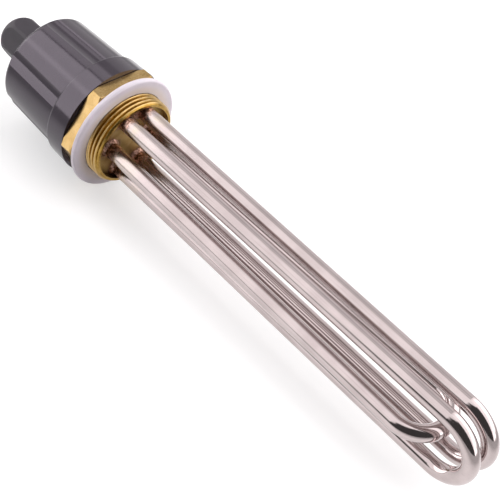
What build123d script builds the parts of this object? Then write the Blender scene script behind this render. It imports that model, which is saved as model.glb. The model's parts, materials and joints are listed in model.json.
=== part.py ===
from build123d import *
from math import atan2, cos, degrees, pi, radians, sin, tan
import os

# Screw-in immersion heater: three hairpin tubes in a brass hex plug, with a screw-on cover and a cable gland
# The axis lies along X and the tubes point to +X
# The origin is on the axis, in the sealing face of the washer, where the tank thread begins

# Driving sizes of the plug, in millimetres and degrees
thread_radius = 23.9
thread_length = 8.0
thread_chamfer = 1.2
relief_depth = 1.4
hex_reach = 3.6
hex_thickness = 7.5
hex_bevel_depth = 1.6
hex_bevel_angle = 30.0
rim_wall = 1.3
recess_depth = 4.0
floor_thickness = 10.0
pocket_step = 0.6
spigot_wall = 4.0
spigot_length = 8.0
spigot_chamfer = 0.8

# Sealing washer
washer_width = 7.15
washer_thickness = 3.2
washer_edge = 1.1
washer_clearance = 0.25

# Hairpin tubes: each wall gap lies between a leg and the recess wall, and each flare is what the half spread
# gains from the sealing face to the bend
tube_radius = 4.1
tube_wall = 0.8
tube_tail = 6.0
bundle_turn = 2.8
centre_wall_gap = 5.0
centre_flare = 2.65
centre_straight = 201.2
outer_wall_gap = 0.35
outer_flare = 1.1
outer_straight = 220.3
outer_offset = 6.15
coil_radius = 1.5
cold_length = 26.0
braze_width = 1.3
braze_height = 1.6

# Terminals
pin_radius = 1.5
stud_radius = 2.0
stud_reach = 22.0
seal_length = 3.0
base_nut_gap = 2.5
nut_across_flats = 7.0
nut_thickness = 3.2
terminal_washer_radius = 4.5
terminal_washer_thickness = 0.8
bridge_thickness = 1.0
bridge_width = 9.0
earth_screw_radius = 2.5
earth_screw_length = 7.0
earth_head_radius = 4.5
earth_head_height = 3.2
earth_slot_width = 1.2
earth_slot_depth = 1.6
earth_washer_radius = 5.5
earth_washer_thickness = 1.0

# Cover
body_length = 40.3
shoulder_wall = 2.2
body_draft = 1.75
body_edge = 3.6
body_wall = 2.8
skirt_length = 13.1
skirt_step = 1.4
skirt_flare = 0.5
skirt_edge = 1.2
end_wall = 3.0
flute_count = 6
flute_radius = 10.3
flute_depth = 1.2

# Cover seal ring
ring_section = 0.6

# Cable gland
gland_thread_radius = 8.0
gland_thread_tail = 2.0
gland_hex_across_flats = 21.0
gland_hex_thickness = 5.0
gland_round_radius = 11.6
gland_spigot_radius = 8.3
gland_spigot_length = 12.8
gland_bore_radius = 5.6
gland_seat_radius = 7.1
gasket_thickness = 1.0
gasket_radius = 10.0
locknut_thickness = 4.0
locknut_across_flats = 22.0
claw_count = 8
claw_slit = 1.2
claw_length = 5.0
grommet_bore = 4.5
grommet_length = 14.0
grommet_lead = 3.0
dome_nut_length = 21.7
dome_start = 13.4
dome_radius = 9.3
cable_hole_radius = 4.9
cable_hole_length = 2.0

# Clearances
moving_gap = 0.3
fit_gap = 0.05
thread_gap = 0.3

# Radii that follow from the sizes above
relief_radius = thread_radius - relief_depth
recess_radius = thread_radius - thread_chamfer - rim_wall
washer_radius = thread_radius + washer_clearance + washer_width
pocket_radius = recess_radius + pocket_step
spigot_radius = pocket_radius + spigot_wall
centre_spread = recess_radius - centre_wall_gap - tube_radius
outer_spread = ((recess_radius - outer_wall_gap - tube_radius) ** 2 - outer_offset ** 2) ** 0.5
mouth_radius = spigot_radius + thread_gap
body_shoulder_radius = mouth_radius + shoulder_wall
body_end_radius = body_shoulder_radius - body_draft
skirt_shoulder_radius = body_shoulder_radius + skirt_step
skirt_radius = skirt_shoulder_radius + skirt_flare
hex_across_flats = 2 * (thread_radius + hex_reach)
hex_corner_radius = hex_across_flats / 2 / cos(pi / 6)
hex_bevel_radius = hex_corner_radius - hex_bevel_depth

# Stations along the axis, each worked out from the sizes above
hex_front = -washer_thickness
hex_back = hex_front - hex_thickness
spigot_end = hex_back - spigot_length
rim_x = thread_length
recess_floor = rim_x - recess_depth
pocket_floor = recess_floor - floor_thickness
tube_end = pocket_floor - tube_tail
stud_end = tube_end - stud_reach
mouth_x = hex_back - moving_gap
shoulder_x = mouth_x - skirt_length
cover_end = shoulder_x - body_length
cavity_end = cover_end + end_wall
gland_face = cover_end - gasket_thickness
gland_collar = gland_face - gland_hex_thickness
nut_face = gland_collar - moving_gap
nut_end = nut_face - dome_nut_length
claw_tip = gland_collar - gland_spigot_length
grommet_tip = claw_tip - grommet_lead

os.makedirs("parts", exist_ok=True)
made = []


def finish(builder, name):
    """Label a finished piece and write it out."""
    builder.part.label = name
    export_step(builder.part, f"parts/{name}.step")
    made.append(name)


def turned(y, z):
    """A point of the tube bundle, turned about the axis with the bundle."""
    a = radians(bundle_turn)
    return y * cos(a) - z * sin(a), y * sin(a) + z * cos(a)


def body_radius(x):
    """Radius of the cover's tapered body over its lobes."""
    return body_shoulder_radius + (x - shoulder_x) * body_taper


body_taper = body_draft / body_length


class Hairpin:
    """One hairpin tube: its plane, its leaning legs and the bend that joins them."""

    def __init__(self, name, offset, upright, spread, flare, straight):
        self.name = name
        self.straight = straight
        self.spread = spread
        self.slope = flare / straight
        self.lean = degrees(atan2(self.slope, 1))
        across = turned(0, 1) if upright else turned(1, 0)
        side = turned(-1, 0) if upright else turned(0, 1)
        self.plane = Plane(origin=(0, *turned(offset, 0)), x_dir=(1, 0, 0), z_dir=(0, *side))
        self.across = across
        self.bend_radius = (spread + flare) / cos(radians(self.lean))

    def height(self, x):
        """Half spread of the legs at a station along the axis."""
        return self.spread + self.slope * x

    def path(self, start_x):
        """Centre line from one leg's start, round the bend and back to the other's."""
        with BuildLine(self.plane) as line:
            leg = Line((start_x, self.height(start_x)), (self.straight, self.height(self.straight)))
            bend = JernArc(leg @ 1, leg % 1, self.bend_radius, -(180 + 2 * self.lean))
            Line(bend @ 1, (start_x, -self.height(start_x)))
        return line.line

    def legs(self, x):
        """Planes square to the two legs at a station, each facing back towards the cover."""
        planes = []
        for hand in (1, -1):
            heading = Vector(-1, *(-hand * self.slope * v for v in self.across))
            point = self.plane.from_local_coords(Vector(x, hand * self.height(x), 0))
            planes.append(Plane(origin=point, x_dir=(0, *self.across), z_dir=heading))
        return planes


outer_sizes = (outer_spread, outer_flare, outer_straight)
centre = Hairpin("centre", 0, False, centre_spread, centre_flare, centre_straight)
front = Hairpin("front", -outer_offset, True, *outer_sizes)
rear = Hairpin("rear", outer_offset, True, *outer_sizes)
hairpins = [front, centre, rear]
core_radius = tube_radius - tube_wall - fit_gap
core_bore = coil_radius + fit_gap


def leg_planes(x):
    """The planes of all six legs at one station."""
    return [plane for hairpin in hairpins for plane in hairpin.legs(x)]


# Brass plug: hex flange, tank thread with its thin rim, recess, and the spigot that carries the cover
with BuildPart() as brass_head:
    with BuildSketch(Plane.YZ.offset(hex_back)):
        RegularPolygon(hex_across_flats / 2, 6, major_radius=False, rotation=0)
    extrude(amount=hex_thickness)
    bevel_rise = hex_bevel_depth * tan(radians(hex_bevel_angle))
    with BuildSketch(Plane.XY):
        Polygon(
            (hex_back, 0), (hex_back, hex_bevel_radius), (hex_back + bevel_rise, hex_corner_radius),
            (hex_front - bevel_rise, hex_corner_radius), (hex_front, hex_bevel_radius), (hex_front, 0),
            align=None,
        )
    revolve(axis=Axis.X, mode=Mode.INTERSECT)
    with BuildSketch(Plane.XY):
        Polygon(
            (hex_front, 0), (hex_front, relief_radius), (0, relief_radius), (0, thread_radius),
            (rim_x - thread_chamfer, thread_radius), (rim_x, thread_radius - thread_chamfer), (rim_x, 0),
            align=None,
        )
        Polygon(
            (hex_back, 0), (hex_back, spigot_radius), (spigot_end + spigot_chamfer, spigot_radius),
            (spigot_end, spigot_radius - spigot_chamfer), (spigot_end, 0), align=None,
        )
    revolve(axis=Axis.X)
    with BuildSketch(Plane.YZ.offset(recess_floor)):
        Circle(recess_radius)
    extrude(amount=recess_depth, mode=Mode.SUBTRACT)
    with BuildSketch(Plane.YZ.offset(pocket_floor)):
        Circle(pocket_radius)
    extrude(amount=spigot_end - pocket_floor, mode=Mode.SUBTRACT)
    with Locations(*leg_planes((recess_floor + pocket_floor) / 2)):
        Cylinder(tube_radius + fit_gap, 2 * floor_thickness, mode=Mode.SUBTRACT)
    with Locations(Plane(origin=(pocket_floor, 0, 0), z_dir=(1, 0, 0))):
        Cylinder(
            earth_screw_radius + fit_gap, earth_screw_length, align=(Align.CENTER, Align.CENTER, Align.MIN),
            mode=Mode.SUBTRACT,
        )
finish(brass_head, "brass_head")

# Washer that seals the plug against the tank boss
with BuildPart() as sealing_washer:
    with BuildSketch(Plane.YZ.offset(hex_front)):
        Circle(washer_radius)
        Circle(thread_radius + washer_clearance, mode=Mode.SUBTRACT)
    extrude(amount=washer_thickness)
    fillet(sealing_washer.edges().filter_by(GeomType.CIRCLE).group_by(SortBy.RADIUS)[-1], washer_edge)
finish(sealing_washer, "sealing_washer")

# Hairpin tubes, each with its magnesia filling and heating coil
for hairpin in hairpins:
    tube_start = hairpin.legs(tube_end)[0]
    coil_start = hairpin.legs(rim_x + cold_length)[0]
    with BuildPart() as sheath:
        with BuildSketch(tube_start):
            Circle(tube_radius)
            Circle(tube_radius - tube_wall, mode=Mode.SUBTRACT)
        sweep(path=hairpin.path(tube_end))
    finish(sheath, f"{hairpin.name}_sheath")
    with BuildPart() as filling:
        with BuildSketch(tube_start):
            Circle(core_radius)
            Circle(core_bore, mode=Mode.SUBTRACT)
        sweep(path=hairpin.path(tube_end))
    finish(filling, f"{hairpin.name}_filling")
    with BuildPart() as coil:
        with BuildSketch(coil_start):
            Circle(coil_radius)
        sweep(path=hairpin.path(rim_x + cold_length))
    finish(coil, f"{hairpin.name}_coil")

# Braze fillets round the six legs on the recess floor, kept clear of the rim wall
with BuildPart() as braze_fillets:
    with Locations(*leg_planes(recess_floor)):
        Cone(
            tube_radius + braze_width, tube_radius + fit_gap * 2, braze_height, rotation=(180, 0, 0),
            align=(Align.CENTER, Align.CENTER, Align.MIN),
        )
        Cylinder(tube_radius + fit_gap, 4 * braze_height, mode=Mode.SUBTRACT)
    with BuildSketch(Plane.YZ.offset(recess_floor)):
        Circle(recess_radius - fit_gap)
    extrude(amount=2 * braze_height, mode=Mode.INTERSECT)
finish(braze_fillets, "braze_fillets")

# Terminals: the seal beads, the studs, and each stud's nuts and washers
stud_number = 0
for hairpin in hairpins:
    for plane in hairpin.legs(tube_end):
        stud_number += 1
        with BuildPart() as terminal_stud:
            with Locations(plane):
                Cylinder(stud_radius, stud_reach, align=(Align.CENTER, Align.CENTER, Align.MIN))
                Cylinder(
                    pin_radius, rim_x + cold_length - tube_end - fit_gap,
                    align=(Align.CENTER, Align.CENTER, Align.MAX),
                )
            chamfer(terminal_stud.edges().sort_by(Axis.X)[0], stud_radius / 4)
        finish(terminal_stud, f"terminal_stud_{stud_number}")

with BuildPart() as end_seals:
    with BuildSketch(*leg_planes(tube_end - fit_gap)):
        Circle(tube_radius - fit_gap)
        Circle(stud_radius + fit_gap, mode=Mode.SUBTRACT)
    extrude(amount=seal_length)
finish(end_seals, "end_seals")

# The star bridge lies under the washers of the first leg of each hairpin
base_nut_x = tube_end - seal_length - base_nut_gap
bridge_x = base_nut_x - nut_thickness - fit_gap
bridged_x = bridge_x - bridge_thickness - fit_gap
washer_planes = []
nut_planes = leg_planes(base_nut_x)
for hairpin in hairpins:
    for hand, stack_x in ((0, bridged_x), (1, bridge_x)):
        washer_planes.append(hairpin.legs(stack_x)[hand])
        nut_planes.append(hairpin.legs(stack_x - terminal_washer_thickness - fit_gap)[hand])

with BuildPart() as terminal_nuts:
    with BuildSketch(*nut_planes):
        RegularPolygon(nut_across_flats / 2, 6, major_radius=False)
        Circle(stud_radius + fit_gap, mode=Mode.SUBTRACT)
    extrude(amount=nut_thickness)
finish(terminal_nuts, "terminal_nuts")

with BuildPart() as terminal_washers:
    with BuildSketch(*washer_planes):
        Circle(terminal_washer_radius)
        Circle(stud_radius + fit_gap, mode=Mode.SUBTRACT)
    extrude(amount=terminal_washer_thickness)
finish(terminal_washers, "terminal_washers")

bridge_plane = Plane(origin=(bridge_x, 0, 0), x_dir=(0, 1, 0), z_dir=(-1, 0, 0))
bridge_points = []
for hairpin in (front, rear, centre):
    point = bridge_plane.to_local_coords(hairpin.legs(bridge_x)[0].origin)
    bridge_points.append((point.X, point.Y))
with BuildPart() as star_bridge:
    with BuildSketch(bridge_plane):
        with BuildLine():
            Polyline(*bridge_points)
        trace(line_width=bridge_width)
        with Locations(*bridge_points):
            Circle(bridge_width / 2)
            Circle(stud_radius + moving_gap, mode=Mode.SUBTRACT)
    extrude(amount=bridge_thickness)
finish(star_bridge, "star_bridge")

# Earth screw and its washer in the middle of the pocket floor
with BuildPart() as earth_washer:
    with BuildSketch(Plane(origin=(pocket_floor, 0, 0), z_dir=(-1, 0, 0))):
        Circle(earth_washer_radius)
        Circle(earth_screw_radius + fit_gap, mode=Mode.SUBTRACT)
    extrude(amount=earth_washer_thickness)
finish(earth_washer, "earth_washer")

with BuildPart() as earth_screw:
    screw_seat = pocket_floor - earth_washer_thickness
    with BuildSketch(Plane(origin=(screw_seat, 0, 0), z_dir=(-1, 0, 0))):
        Circle(earth_head_radius)
    extrude(amount=earth_head_height)
    fillet(earth_screw.edges().sort_by(Axis.X)[0], earth_head_height / 3)
    with BuildSketch(Plane.YZ.offset(screw_seat)):
        Circle(earth_screw_radius)
    extrude(amount=earth_washer_thickness + earth_screw_length - fit_gap)
    with Locations((screw_seat - earth_head_height, 0, 0)):
        Box(2 * earth_slot_depth, 2 * earth_head_radius, earth_slot_width, mode=Mode.SUBTRACT)
finish(earth_screw, "earth_screw")

# Cover: a tapered cap with wide lobes and shallow flutes that stop at the round skirt's shoulder
cavity_radius = body_radius(shoulder_x) - body_wall
cavity_end_radius = body_radius(cavity_end) - body_wall
seal_groove_radius = mouth_radius + 2 * ring_section + moving_gap
seal_groove_depth = 2 * ring_section + moving_gap
with BuildPart() as cover:
    with BuildSketch(Plane.XY):
        Polygon(
            (cover_end, 0), (cover_end, body_end_radius), (shoulder_x, body_shoulder_radius), (shoulder_x, 0),
            align=None,
        )
    revolve(axis=Axis.X)
    fillet(cover.edges().filter_by(GeomType.CIRCLE).sort_by(Axis.X)[0], body_edge)
    for k in range(flute_count):
        a = 2 * pi * (k + 0.5) / flute_count
        outward = Vector(0, cos(a), sin(a))
        along = Vector(1, 0, 0) + outward * body_taper
        start = Vector(cover_end, 0, 0) + outward * (body_end_radius - flute_depth + flute_radius)
        with BuildSketch(Plane(origin=start - along * body_edge, z_dir=along)):
            Circle(flute_radius)
        extrude(amount=body_length + 2 * body_edge, mode=Mode.SUBTRACT)
    with BuildSketch(Plane.XY):
        Polygon(
            (shoulder_x, 0), (shoulder_x, skirt_shoulder_radius), (mouth_x, skirt_radius), (mouth_x, 0),
            align=None,
        )
    revolve(axis=Axis.X)
    shoulder_edges = cover.edges().filter_by(GeomType.CIRCLE).filter_by(
        lambda edge: abs(edge.center().X - shoulder_x) < skirt_edge
    )
    fillet(shoulder_edges.group_by(SortBy.RADIUS)[-1], skirt_edge)
    with BuildSketch(Plane.XY):
        Polygon(
            (cavity_end, 0), (cavity_end, cavity_end_radius), (shoulder_x, cavity_radius),
            (spigot_end - thread_gap, mouth_radius), (mouth_x - seal_groove_depth, mouth_radius),
            (mouth_x - seal_groove_depth, seal_groove_radius), (mouth_x, seal_groove_radius), (mouth_x, 0),
            align=None,
        )
    revolve(axis=Axis.X, mode=Mode.SUBTRACT)
    with BuildSketch(Plane.YZ.offset(cover_end)):
        Circle(gland_thread_radius + fit_gap)
    extrude(amount=end_wall, mode=Mode.SUBTRACT)
finish(cover, "cover")

with BuildPart() as cover_seal:
    with BuildSketch(Plane.XY):
        with Locations((mouth_x - ring_section, mouth_radius + ring_section)):
            Circle(ring_section)
    revolve(axis=Axis.X)
finish(cover_seal, "cover_seal")

# Cable gland: body through the cover's end wall, gasket, locknut, grommet and domed nut
with BuildPart() as gland_body:
    with BuildSketch(Plane.YZ.offset(gland_collar)):
        RegularPolygon(gland_hex_across_flats / 2, 6, major_radius=False)
    extrude(amount=gland_hex_thickness)
    with BuildSketch(Plane.YZ.offset(gland_collar)):
        Circle(gland_round_radius)
    extrude(amount=gland_hex_thickness, mode=Mode.INTERSECT)
    thread_tip = cavity_end + locknut_thickness + gland_thread_tail
    with BuildSketch(Plane.XY):
        Polygon(
            (gland_face, 0), (gland_face, gland_thread_radius), (thread_tip, gland_thread_radius),
            (thread_tip, 0), align=None,
        )
        Polygon(
            (claw_tip, 0), (claw_tip, gland_spigot_radius), (gland_collar, gland_spigot_radius),
            (gland_collar, 0), align=None,
        )
    revolve(axis=Axis.X)
    with BuildSketch(Plane.XY):
        seat_x = claw_tip + grommet_length - grommet_lead + moving_gap
        Polygon(
            (claw_tip, 0), (claw_tip, gland_seat_radius), (seat_x, gland_seat_radius),
            (seat_x, gland_bore_radius), (thread_tip, gland_bore_radius), (thread_tip, 0),
            align=None,
        )
    revolve(axis=Axis.X, mode=Mode.SUBTRACT)
    with Locations(Plane(origin=(claw_tip, 0, 0), z_dir=(1, 0, 0))):
        with PolarLocations(gland_spigot_radius, claw_count):
            Box(2 * gland_spigot_radius - gland_seat_radius, claw_slit, 2 * claw_length, mode=Mode.SUBTRACT)
finish(gland_body, "gland_body")

with BuildPart() as gland_gasket:
    with BuildSketch(Plane.YZ.offset(gland_face)):
        Circle(gasket_radius)
        Circle(gland_thread_radius + fit_gap, mode=Mode.SUBTRACT)
    extrude(amount=gasket_thickness)
finish(gland_gasket, "gland_gasket")

with BuildPart() as gland_locknut:
    with BuildSketch(Plane.YZ.offset(cavity_end)):
        RegularPolygon(locknut_across_flats / 2, 6, major_radius=False)
        Circle(gland_thread_radius + fit_gap, mode=Mode.SUBTRACT)
    extrude(amount=locknut_thickness)
finish(gland_locknut, "gland_locknut")

with BuildPart() as gland_grommet:
    with BuildSketch(Plane.YZ.offset(grommet_tip)):
        Circle(gland_seat_radius - moving_gap)
        Circle(grommet_bore, mode=Mode.SUBTRACT)
    extrude(amount=grommet_length)
finish(gland_grommet, "gland_grommet")

with BuildPart() as gland_nut:
    with BuildSketch(Plane.YZ.offset(nut_end)):
        RegularPolygon(gland_hex_across_flats / 2, 6, major_radius=False)
    extrude(amount=dome_nut_length)
    dome_x = nut_face - dome_start
    dome_reach = dome_x - nut_end
    dome_end_radius = gland_round_radius - dome_radius + (dome_radius ** 2 - dome_reach ** 2) ** 0.5
    with BuildSketch(Plane.XY):
        with BuildLine():
            Polyline(
                (nut_end, 0), (nut_face, 0), (nut_face, gland_round_radius), (dome_x, gland_round_radius),
            )
            RadiusArc((dome_x, gland_round_radius), (nut_end, dome_end_radius), -dome_radius)
            Line((nut_end, dome_end_radius), (nut_end, 0))
        make_face()
    revolve(axis=Axis.X, mode=Mode.INTERSECT)
    bore_radius = gland_spigot_radius + thread_gap
    with BuildSketch(Plane.XY):
        Polygon(
            (nut_face, 0), (nut_face, bore_radius), (claw_tip, bore_radius),
            (nut_end + cable_hole_length, cable_hole_radius), (nut_end, cable_hole_radius), (nut_end, 0),
            align=None,
        )
    revolve(axis=Axis.X, mode=Mode.SUBTRACT)
finish(gland_nut, "gland_nut")

print("pieces", len(made), "cover end", round(cover_end, 2), "gland end", round(nut_end, 2))
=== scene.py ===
import bmesh
import bpy
import json
from math import cos, pi, radians, sin, tan
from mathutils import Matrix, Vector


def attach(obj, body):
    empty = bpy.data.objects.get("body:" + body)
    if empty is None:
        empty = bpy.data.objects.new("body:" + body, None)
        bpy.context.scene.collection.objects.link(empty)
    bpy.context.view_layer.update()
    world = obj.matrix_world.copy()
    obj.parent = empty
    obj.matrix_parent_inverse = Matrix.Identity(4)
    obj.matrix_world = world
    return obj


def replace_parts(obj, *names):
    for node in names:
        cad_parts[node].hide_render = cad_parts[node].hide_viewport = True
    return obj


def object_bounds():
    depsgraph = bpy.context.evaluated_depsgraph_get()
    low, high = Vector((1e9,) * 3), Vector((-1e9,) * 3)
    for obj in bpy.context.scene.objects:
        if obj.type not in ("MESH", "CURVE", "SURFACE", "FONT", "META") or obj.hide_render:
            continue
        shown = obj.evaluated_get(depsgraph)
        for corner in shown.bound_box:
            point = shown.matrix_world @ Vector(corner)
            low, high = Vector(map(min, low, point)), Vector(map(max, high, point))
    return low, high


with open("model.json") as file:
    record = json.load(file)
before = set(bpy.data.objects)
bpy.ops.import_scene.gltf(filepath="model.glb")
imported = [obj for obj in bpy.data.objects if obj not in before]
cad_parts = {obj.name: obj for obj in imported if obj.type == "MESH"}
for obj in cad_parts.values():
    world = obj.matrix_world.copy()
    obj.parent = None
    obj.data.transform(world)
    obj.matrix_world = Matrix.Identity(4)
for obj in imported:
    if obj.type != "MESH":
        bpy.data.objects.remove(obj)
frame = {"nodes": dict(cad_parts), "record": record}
cad_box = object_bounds()
nodes = frame["nodes"]
scene = bpy.context.scene
MM = 1000

# Camera at the photograph's viewing angle: place in metres, turn in degrees, lens in millimetres
CAMERA_PLACE = (0.3611, -0.3669, 0.4564)
CAMERA_TURN = (43.833, -10.753, 47.182)
CAMERA_LENS = 99.64
SENSOR_WIDTH = 36
CLIP_START = 0.01
camera = bpy.data.objects.new("camera", bpy.data.cameras.new("camera"))
scene.collection.objects.link(camera)
scene.camera = camera
camera.data.sensor_width = SENSOR_WIDTH
camera.data.lens = CAMERA_LENS
camera.data.clip_start = CLIP_START
camera.location = CAMERA_PLACE
camera.rotation_euler = [radians(angle) for angle in CAMERA_TURN]
scene.view_settings.view_transform = "Standard"

# Sizes of the plug in millimetres, as in the part's source
THREAD_RADIUS = 23.9
RIM_X = 8.0
RIM_CHAMFER = 1.2
RECESS_RADIUS = 21.4
RECESS_X = 4.0
HEX_HALF = 27.5
HEX_FRONT = -3.2
HEX_BACK = -10.7
BEVEL_DEPTH = 1.6
BEVEL_ANGLE = radians(30)
BEVEL_RADIUS = HEX_HALF / cos(pi / 6) - BEVEL_DEPTH
BEVEL_RISE = BEVEL_DEPTH * tan(BEVEL_ANGLE)
RELIEF_RADIUS = 22.5
SPIGOT_RADIUS = 26.0
SPIGOT_END = -18.7
SPIGOT_CHAMFER = 0.8
POCKET_RADIUS = 22.0
POCKET_X = -6.0

# Threads in millimetres: where a crest stands, and how flat and how faded the thread is in pitches
TANK_PITCH = 2.309
TANK_DEPTH = 1.479
TANK_CREST = 2.924
COVER_PITCH = 2.0
COVER_DEPTH = 0.9
COVER_RUN_OUT = 0.8
THREAD_PHASE = radians(128.8)
CREST_FLAT = 0.12
FADE_IN = 0.35
FADE_OUT = 0.25

# Stations and steps of the turned plug
TURN_STEPS = 360
TANK_STEPS = 84
COVER_STEPS = 60
BEVEL_STEPS = 8
CORE_RADIUS = 6.0
SHARP_ANGLE = radians(28)

# Where the six legs stand in the recess, in millimetres across the axis, and the braze round them
LEAN = radians(2.8)
CENTRE_FOOT_Y = 12.34
OUTER_FOOT_Y = 6.15
OUTER_FOOT_Z = 15.83
BRAZE_INSIDE = 4.6
BRAZE_OUTSIDE = 8.0

# How far the tubes' tints reach from the washer's face, in millimetres: full, and gone
STRAW_FULL = 12
STRAW_GONE = 34
BURNT_FULL = 9
BURNT_GONE = 13
BURNT_RAGGED = 9
DULL_FULL = 15
DULL_GONE = 70

# Floor in metres: a painted pool of light under the object, shaped as the camera sees it, fades softly to a
# painted pale grey shade that darkens the metal's reflections beyond it
FLOOR_REACH = 6.0
FLOOR_DROP = 0.002
POOL_CENTRE = (0.055, 0.0817)
POOL_HALF = (0.198, 0.235)
POOL_SKEW = (0.252, 0.045)
POOL_POWER = 1.4
POOL_EDGE = 1.07
POOL_GONE = 1.8
POOL_COLOR = (0.62, 0.62, 0.62, 1)
POOL_GLOW = 0.48
FAR_COLOR = (0.38, 0.38, 0.38, 1)
FAR_GLOW = 0.12
WHITE = (1, 1, 1, 1)

# Studio light: its colour, its level outside the lights, and the plain backdrop above the floor
STUDIO_COLOR = (1.0, 0.975, 0.985, 1)
STUDIO_LEVEL = 0.55
BACKDROP_LEVEL = 0.638


class Nodes:
    """A node tree with short calls: a value is a number, a colour or another node's socket."""

    def __init__(self, tree):
        self.tree = tree

    def set(self, socket, value):
        if isinstance(value, bpy.types.NodeSocket):
            self.tree.links.new(value, socket)
        else:
            socket.default_value = value

    def add(self, kind, *values, out=0, **settings):
        node = self.tree.nodes.new(kind)
        for key, value in settings.items():
            setattr(node, key, value)
        for socket, value in zip(node.inputs, values):
            self.set(socket, value)
        return node.outputs[out]

    def math(self, operation, *values, clamp=False):
        return self.add("ShaderNodeMath", *values, operation=operation, use_clamp=clamp)

    def plus(self, a, b):
        return self.math("ADD", a, b)

    def minus(self, a, b):
        return self.math("SUBTRACT", a, b)

    def times(self, a, b):
        return self.math("MULTIPLY", a, b)

    def length(self, a, b):
        return self.math("SQRT", self.plus(self.times(a, a), self.times(b, b)))

    def split(self, vector):
        node = self.tree.nodes.new("ShaderNodeSeparateXYZ")
        self.set(node.inputs[0], vector)
        return tuple(node.outputs)

    def step(self, value, none, full, start=0.0, end=1.0):
        """A smooth step of a value, from start where it is none to end where it is full."""
        limits = (none, full, start, end)
        return self.add("ShaderNodeMapRange", value, *limits, interpolation_type="SMOOTHSTEP")

    def mix(self, factor, a, b):
        node = self.tree.nodes.new("ShaderNodeMix")
        node.data_type = "RGBA"
        self.set(node.inputs["Factor"], factor)
        self.set(node.inputs[6], a)
        self.set(node.inputs[7], b)
        return node.outputs[2]


class Material(Nodes):
    """A Principled material whose patterns are placed in millimetres of the part's frame."""

    def __init__(self, name, **sockets):
        self.made = bpy.data.materials.new(name)
        self.made.use_nodes = True
        super().__init__(self.made.node_tree)
        self.shader = self.tree.nodes["Principled BSDF"]
        coords = self.add("ShaderNodeTexCoord", out=3)
        self.place = self.add("ShaderNodeVectorMath", coords, (MM, MM, MM), operation="MULTIPLY")
        self.x, self.y, self.z = self.split(self.place)
        self.put(**sockets)

    def put(self, **sockets):
        """Set the shader's sockets, written with _ for a space."""
        for key, value in sockets.items():
            self.set(self.shader.inputs[key.replace("_", " ")], value)

    def noise(self, cell, detail=3.0, rough=0.5, stretch=(1, 1, 1)):
        """Noise with so many millimetres to a cell, stretched along the axes."""
        scale = tuple(1 / (cell * s) for s in stretch)
        scaled = self.add("ShaderNodeVectorMath", self.place, scale, operation="MULTIPLY")
        node = self.tree.nodes.new("ShaderNodeTexNoise")
        self.set(node.inputs["Vector"], scaled)
        self.set(node.inputs["Scale"], 1.0)
        self.set(node.inputs["Detail"], detail)
        self.set(node.inputs["Roughness"], rough)
        return node.outputs[0]

    def mottle(self, noise, low, high, dark, light):
        """Two colours, parted softly where the noise goes from low to high."""
        return self.mix(self.step(noise, low, high), dark, light)

    def bump(self, height, depth, strength=0.5):
        """Relief whose depth is in millimetres."""
        node = self.tree.nodes.new("ShaderNodeBump")
        self.set(node.inputs["Strength"], strength)
        self.set(node.inputs["Distance"], depth / MM)
        self.set(node.inputs["Height"], height)
        self.put(Normal=node.outputs[0])


def linear(value):
    return value / 12.92 if value <= 0.04045 else ((value + 0.055) / 1.055) ** 2.4


def rgb(*values):
    """A colour written as it shows on the screen, 0 to 255."""
    return tuple(linear(value / 255) for value in values) + (1,)


def leg_feet():
    """The middles of the six legs, y and z."""
    feet = [(side * CENTRE_FOOT_Y, 0.0) for side in (1, -1)]
    feet += [(side * OUTER_FOOT_Y, end * OUTER_FOOT_Z) for side in (1, -1) for end in (1, -1)]
    return [(y * cos(LEAN) - z * sin(LEAN), y * sin(LEAN) + z * cos(LEAN)) for y, z in feet]


# Materials

def brass():
    """Machined brass: cream-gold crests and flats, with painted shade in darker olive thread valleys and a
    darker olive recess, and painted shade with heat stain in a mottled brown ring round each leg's foot.
    """
    m = Material("brass", Metallic=1.0)
    radius = m.length(m.y, m.z)
    # Mask of the thread valleys, where painted shade goes
    in_valley = m.times(m.step(m.x, 0.0, 0.2), m.step(radius, THREAD_RADIUS - 0.2, THREAD_RADIUS - 0.9))
    # Mask of the recess, where painted shade goes
    in_radius = m.step(radius, RECESS_RADIUS + 0.2, RECESS_RADIUS + 0.05)
    in_recess = m.times(in_radius, m.step(m.x, RECESS_X - 1.0, RECESS_X - 0.6))
    # A ring round each leg's foot, where painted shade and heat stain go
    at_foot = 0.0
    for y, z in leg_feet():
        apart = m.length(m.minus(m.y, y), m.minus(m.z, z))
        at_foot = m.math("MAXIMUM", at_foot, m.step(apart, BRAZE_OUTSIDE, BRAZE_INSIDE))
    grain = m.noise(0.35, detail=4, rough=0.6, stretch=(0.3, 1, 1))
    bright = m.mottle(m.noise(6), 0.3, 0.7, rgb(182, 152, 100), rgb(198, 168, 116))
    bright = m.mix(m.times(m.step(grain, 0.48, 0.72), 0.30), bright, rgb(160, 128, 76))
    # Painted shade: the thread valleys are darker and more olive than the crests
    valley_shade = m.mottle(m.noise(2.5), 0.35, 0.65, rgb(146, 114, 48), rgb(164, 132, 66))
    # Painted shade: the recess is darker olive brass
    recess_shade = m.mottle(m.noise(4.5), 0.35, 0.65, rgb(140, 114, 66), rgb(158, 132, 84))
    # Painted shade and heat stain: a mottled brown ring round each leg's foot
    burnt = m.times(at_foot, m.step(m.noise(3.0, rough=0.6), 0.3, 0.6))
    # The recess's painted shade, with the feet's painted shade and heat stain over it
    shade_and_stain = m.mix(burnt, recess_shade, rgb(112, 84, 74))
    color = m.mix(in_recess, m.mix(in_valley, bright, valley_shade), shade_and_stain)
    rough = m.plus(m.times(grain, 0.10), 0.22)
    m.put(Base_Color=color, Roughness=m.plus(rough, m.times(in_recess, 0.22)))
    m.bump(grain, 0.008)
    return m.made


def copper(m):
    """Copper speckle of the braze."""
    speckle = m.noise(1.3, detail=4, rough=0.7)
    return m.mottle(speckle, 0.45, 0.58, rgb(126, 94, 78), rgb(232, 190, 174))


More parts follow.
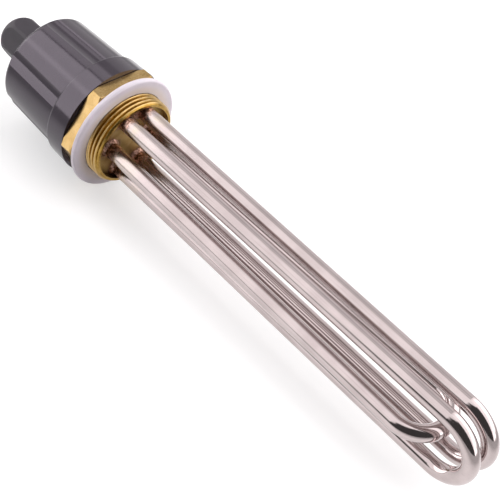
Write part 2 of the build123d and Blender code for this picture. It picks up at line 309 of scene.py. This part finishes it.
def steel():
    """Polished tube with faint lines along it, straw tinted near the plug and speckled at the braze."""
    m = Material("stainless", Metallic=1.0)
    streak = m.noise(0.55, detail=2, stretch=(60, 1, 1))
    color = m.mottle(m.noise(16), 0.3, 0.7, rgb(188, 176, 175), rgb(199, 187, 186))
    color = m.mix(m.times(m.step(streak, 0.5, 0.75), 0.25), color, rgb(158, 147, 146))
    straw = m.times(m.step(m.x, STRAW_GONE, STRAW_FULL), m.step(m.noise(9, detail=2), 0.3, 0.7))
    color = m.mix(m.times(straw, 0.45), color, rgb(206, 190, 160))
    ragged = m.times(m.minus(m.noise(3, detail=4, rough=0.7), 0.5), BURNT_RAGGED)
    burnt = m.step(m.plus(m.x, ragged), BURNT_GONE, BURNT_FULL)
    color = m.mix(burnt, color, copper(m))
    rough = m.plus(m.times(streak, 0.05), 0.08)
    rough = m.plus(rough, m.times(m.step(m.x, DULL_GONE, DULL_FULL), 0.12))
    m.put(Base_Color=color, Roughness=m.plus(rough, m.times(burnt, 0.2)))
    return m.made


def braze():
    """Lumpy braze fillets, dark and copper."""
    m = Material("braze", Metallic=1.0)
    speckle = m.noise(1.3, detail=4, rough=0.7)
    color = m.mottle(speckle, 0.42, 0.6, rgb(120, 92, 76), rgb(222, 180, 162))
    m.put(Base_Color=color, Roughness=m.plus(m.times(speckle, 0.25), 0.32))
    m.bump(m.noise(1.1), 0.15, strength=0.7)
    return m.made


def nylon():
    """Translucent white washer, a little warmer towards the thread."""
    m = Material("white_washer", Subsurface_Weight=0.25, Subsurface_Scale=0.002)
    m.put(Subsurface_Radius=(1.0, 0.8, 0.9))
    fine = m.noise(0.8)
    white = m.mottle(m.noise(12), 0.3, 0.7, rgb(211, 203, 211), rgb(219, 211, 219))
    warm = m.step(m.length(m.y, m.z), 29.5, 25.5)
    color = m.mix(warm, white, rgb(220, 207, 202))
    m.put(Base_Color=color, Roughness=m.plus(m.times(fine, 0.12), 0.32))
    m.bump(fine, 0.01, strength=0.4)
    return m.made


def plastic(name, dark, light, rough, level, grain, depth, tint=WHITE):
    """Moulded plastic with faint mottling and a fine surface grain."""
    m = Material(name, Specular_IOR_Level=level, Specular_Tint=tint)
    fine = m.noise(grain)
    color = m.mottle(m.noise(9), 0.35, 0.65, dark, light)
    m.put(Base_Color=color, Roughness=m.plus(m.times(fine, 0.08), rough))
    m.bump(fine, depth)
    return m.made


def cover_plastic():
    """Glossy black of the screw-on cover, with a faint violet sheen."""
    dark, light = rgb(38, 32, 40), rgb(42, 36, 44)
    sheen = (0.98, 0.88, 1, 1)
    return plastic("cover_plastic", dark, light, rough=0.09, level=0.68, grain=1.6, depth=0.003, tint=sheen)


def gland_nylon():
    """Satin black of the cable gland."""
    dark, light = rgb(45, 39, 47), rgb(51, 45, 53)
    return plastic("gland_nylon", dark, light, rough=0.46, level=0.5, grain=0.6, depth=0.01)


def seal_rubber():
    dark, light = rgb(30, 30, 30), rgb(40, 39, 38)
    return plastic("seal_rubber", dark, light, rough=0.55, level=0.4, grain=0.5, depth=0.02)


def magnesia():
    dark, light = rgb(226, 222, 214), rgb(238, 236, 230)
    return plastic("magnesia", dark, light, rough=0.8, level=0.3, grain=0.4, depth=0.05)


def bead():
    """Glazed seals in the tubes' ends."""
    dark, light = rgb(214, 206, 190), rgb(228, 222, 210)
    return plastic("bead", dark, light, rough=0.25, level=0.5, grain=0.6, depth=0.01)


def metal(name, dark, light, rough, grain):
    """Plain metal with a fine grain."""
    m = Material(name, Metallic=1.0)
    fine = m.noise(grain, detail=4, rough=0.6)
    color = m.mottle(fine, 0.35, 0.65, dark, light)
    m.put(Base_Color=color, Roughness=m.plus(m.times(fine, 0.15), rough))
    m.bump(fine, 0.01)
    return m.made


def coil_wire():
    return metal("coil_wire", rgb(96, 90, 88), rgb(140, 134, 130), rough=0.3, grain=0.5)


def plated_steel():
    return metal("plated_steel", rgb(176, 176, 172), rgb(206, 205, 200), rough=0.2, grain=0.6)


looks = {
    "brass": brass(),
    "stainless": steel(),
    "braze": braze(),
    "white_washer": nylon(),
    "cover_plastic": cover_plastic(),
    "gland_nylon": gland_nylon(),
    "seal_rubber": seal_rubber(),
    "magnesia": magnesia(),
    "bead": bead(),
    "coil_wire": coil_wire(),
    "plated_steel": plated_steel(),
}
for item in frame["record"]["subparts"]:
    mesh = nodes[item["node"]].data
    mesh.materials.clear()
    mesh.materials.append(looks[item["material_slot"]])


# Brass plug with its real threads

def within(value):
    return min(max(value, 0), 1)


def thread_drop(x, a, pitch, depth, crest, first, last):
    """How far a right-hand thread lies under its crest radius, fading out at both ends."""
    u = ((x - crest) / pitch - (a - THREAD_PHASE) / (2 * pi)) % 1.0
    down = within((min(u, 1 - u) * 2 - CREST_FLAT) / (1 - 2 * CREST_FLAT))
    fade = within((x - first) / (FADE_IN * pitch)) * within((last - x) / (FADE_OUT * pitch))
    return depth * down * fade


def tank_thread(x, a):
    """Radius of the tank thread, with the chamfer at its rim."""
    drop = thread_drop(x, a, TANK_PITCH, TANK_DEPTH, TANK_CREST, 0.0, RIM_X)
    return min(THREAD_RADIUS - drop, THREAD_RADIUS - RIM_CHAMFER + RIM_X - x)


def cover_thread(x, a):
    """Radius of the spigot's thread under the cover, with the chamfer at its end."""
    drop = thread_drop(x, a, COVER_PITCH, COVER_DEPTH, 0.0, SPIGOT_END, HEX_BACK - COVER_RUN_OUT)
    return min(SPIGOT_RADIUS - drop, SPIGOT_RADIUS - SPIGOT_CHAMFER + x - SPIGOT_END)


def hex_radius(x, a):
    """Radius of the hex, with its corners bevelled at both faces."""
    flat = HEX_HALF / cos(a % (pi / 3) - pi / 6)
    rise = min(x - HEX_BACK, HEX_FRONT - x)
    return min(flat, BEVEL_RADIUS + max(rise, 0) / tan(BEVEL_ANGLE))


def stations(a, b, count):
    return [a + (b - a) * i / count for i in range(count + 1)]


def plug_rows():
    """The plug's outline from the terminal pocket round to the middle of the recess."""
    rows = [(POCKET_X, 0), (POCKET_X, CORE_RADIUS), (POCKET_X, POCKET_RADIUS), (SPIGOT_END, POCKET_RADIUS)]
    rows += [(x, cover_thread) for x in stations(SPIGOT_END, HEX_BACK, COVER_STEPS)]
    rows += [(x, hex_radius) for x in stations(HEX_BACK, HEX_BACK + BEVEL_RISE, BEVEL_STEPS)]
    rows += [(x, hex_radius) for x in stations(HEX_FRONT - BEVEL_RISE, HEX_FRONT, BEVEL_STEPS)]
    rows += [(HEX_FRONT, RELIEF_RADIUS), (0, RELIEF_RADIUS)]
    rows += [(x, tank_thread) for x in stations(0, RIM_X, TANK_STEPS)]
    rows += [(RIM_X, RECESS_RADIUS), (RECESS_X, RECESS_RADIUS), (RECESS_X, CORE_RADIUS), (RECESS_X, 0)]
    return rows


def ring(bm, x, radius):
    """One ring of vertices round the axis, or one vertex on it."""
    if radius == 0:
        return [bm.verts.new((x / MM, 0, 0))]
    verts = []
    for i in range(TURN_STEPS):
        a = 2 * pi * i / TURN_STEPS
        r = radius(x, a) if callable(radius) else radius
        verts.append(bm.verts.new((x / MM, r * cos(a) / MM, r * sin(a) / MM)))
    return verts


def bridge(bm, lower, upper):
    """Faces between two rings, or between a ring and a vertex on the axis."""
    for i in range(TURN_STEPS):
        j = (i + 1) % TURN_STEPS
        if len(lower) == 1:
            bm.faces.new((lower[0], upper[i], upper[j]))
        elif len(upper) == 1:
            bm.faces.new((lower[i], upper[0], lower[j]))
        else:
            bm.faces.new((lower[i], upper[i], upper[j], lower[j]))


def lathe(name, rows, slot):
    """A closed turned piece: a row is a station x and a radius, a number or a function of x and angle."""
    mesh = bpy.data.meshes.new(name)
    bm = bmesh.new()
    rings = [ring(bm, x, radius) for x, radius in rows]
    for lower, upper in zip(rings, rings[1:]):
        bridge(bm, lower, upper)
    bmesh.ops.recalc_face_normals(bm, faces=bm.faces)
    bm.to_mesh(mesh)
    bm.free()
    mesh.polygons.foreach_set("use_smooth", [True] * len(mesh.polygons))
    mesh.set_sharp_from_angle(angle=SHARP_ANGLE)
    mesh.materials.append(looks[slot])
    made = bpy.data.objects.new(name, mesh)
    scene.collection.objects.link(made)
    return made


plug = lathe("threaded_plug", plug_rows(), "brass")
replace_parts(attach(plug, "head"), "brass_head")


# Floor

def pool_edge(p):
    """How far the floor has faded from the painted white pool of light, 0 to 1."""
    x, y, z = p.split(p.add("ShaderNodeTexCoord", out=3))
    reach = 0.0
    for along, across, skew, middle, half in zip((x, y), (y, x), POOL_SKEW, POOL_CENTRE, POOL_HALF):
        leaning = p.math("MULTIPLY_ADD", across, skew, along)
        off = p.math("ABSOLUTE", p.math("DIVIDE", p.minus(leaning, middle), half))
        reach = p.plus(reach, p.math("POWER", off, POOL_POWER))
    return p.step(p.math("POWER", reach, 1 / POOL_POWER), POOL_EDGE, POOL_GONE)


def painted_pool_floor():
    """Floor with a painted white pool of light that fades to painted grey shade, and a glow that only the
    camera, glossy surfaces and clear ones see.
    """
    made = bpy.data.materials.new("painted_pool_floor")
    made.use_nodes = True
    made.node_tree.nodes.clear()
    p = Nodes(made.node_tree)
    edge = pool_edge(p)
    rays = p.tree.nodes.new("ShaderNodeLightPath").outputs
    seen = p.plus(rays["Is Camera Ray"], rays["Is Glossy Ray"])
    seen = p.math("ADD", seen, rays["Is Transmission Ray"], clamp=True)
    # Painted light and shade: the pool is paler and glows more, and the floor beyond it is painted grey
    level = p.minus(POOL_GLOW, p.times(edge, POOL_GLOW - FAR_GLOW))
    pale = p.add("ShaderNodeBsdfDiffuse", p.mix(edge, POOL_COLOR, FAR_COLOR))
    glow = p.add("ShaderNodeEmission", WHITE, p.times(seen, level))
    surface = p.add("ShaderNodeAddShader", pale, glow)
    p.set(p.tree.nodes.new("ShaderNodeOutputMaterial").inputs[0], surface)
    return made


def make_floor():
    level = cad_box[0][2] - FLOOR_DROP
    signs = ((-1, -1), (1, -1), (1, 1), (-1, 1))
    corners = [(sx * FLOOR_REACH, sy * FLOOR_REACH, level) for sx, sy in signs]
    mesh = bpy.data.meshes.new("floor")
    mesh.from_pydata(corners, [], [(0, 1, 2, 3)])
    mesh.materials.append(painted_pool_floor())
    made = bpy.data.objects.new("floor", mesh)
    scene.collection.objects.link(made)
    return made


floor = make_floor()


# Studio light

class Studio(Nodes):
    """Light by direction: dx is towards the tubes' bends, and around turns about the tubes' axis."""

    def __init__(self, tree):
        super().__init__(tree)
        self.dx, dy, dz = self.split(self.add("ShaderNodeTexCoord", out=0))
        self.around = self.math("DEGREES", self.math("ARCTAN2", dz, dy))
        self.strength = STUDIO_LEVEL

    def lay(self, mask, level):
        """Lay one level over the rest as far as its mask says."""
        node = self.tree.nodes.new("ShaderNodeMix")
        self.set(node.inputs[0], mask)
        self.set(node.inputs[2], self.strength)
        self.set(node.inputs[3], level)
        self.strength = node.outputs[0]

    def light(self, low, high, soft, level, where=1.0):
        """Lay a light between two angles around the axis, in degrees, with soft edges."""
        rise = self.step(self.around, low - soft, low + soft)
        fall = self.step(self.around, high + soft, high - soft)
        self.lay(self.times(self.times(rise, fall), where), level)


def light_studio():
    world = bpy.data.worlds.new("studio")
    scene.world = world
    world.use_nodes = True
    world.node_tree.nodes.clear()
    s = Studio(world.node_tree)

    # The main light ends along a slanting line, and beyond it the room is dark
    slant = s.plus(s.step(s.around, 95, 125, 0.12, -0.14), s.step(s.around, 140, 178, 0.0, -0.2))
    beyond = s.minus(s.dx, slant)
    behind_plug = s.times(s.step(s.dx, -0.535, -0.575), s.step(s.around, 58, 62))
    before_plug = s.step(s.dx, -0.22, -0.1)

    # Walls and the main light, which the cover and the hex show
    s.light(low=-20, high=42, soft=4, level=0.95)
    s.light(low=44, high=60, soft=3, level=0.7)
    s.light(low=62, high=81, soft=2, level=0.9)
    s.light(low=84, high=187, soft=1.5, level=1.45, where=s.step(beyond, 0.03, -0.03))

    # Behind the plug: brighter, with one bright line and one dark line on the cover's flutes
    s.light(low=116, high=126, soft=4, level=1.9, where=behind_plug)
    s.strength = s.times(s.strength, s.plus(s.times(behind_plug, 0.95), 1.0))
    s.light(low=81.5, high=84, soft=1, level=0.25, where=behind_plug)

    # Before the plug: the two strips along the tubes, and the dark room at their bends
    s.light(low=8, high=62, soft=3, level=2.7, where=before_plug)
    s.light(low=62, high=90, soft=3, level=1.8, where=before_plug)
    s.light(low=92, high=200, soft=5, level=0.07, where=s.step(beyond, -0.05, 0.05))

    # A low view sees a plain backdrop above the floor
    rays = s.tree.nodes.new("ShaderNodeLightPath").outputs
    s.lay(rays["Is Camera Ray"], BACKDROP_LEVEL)
    background = s.add("ShaderNodeBackground", STUDIO_COLOR, s.strength)
    s.set(s.tree.nodes.new("ShaderNodeOutputWorld").inputs[0], background)


light_studio()
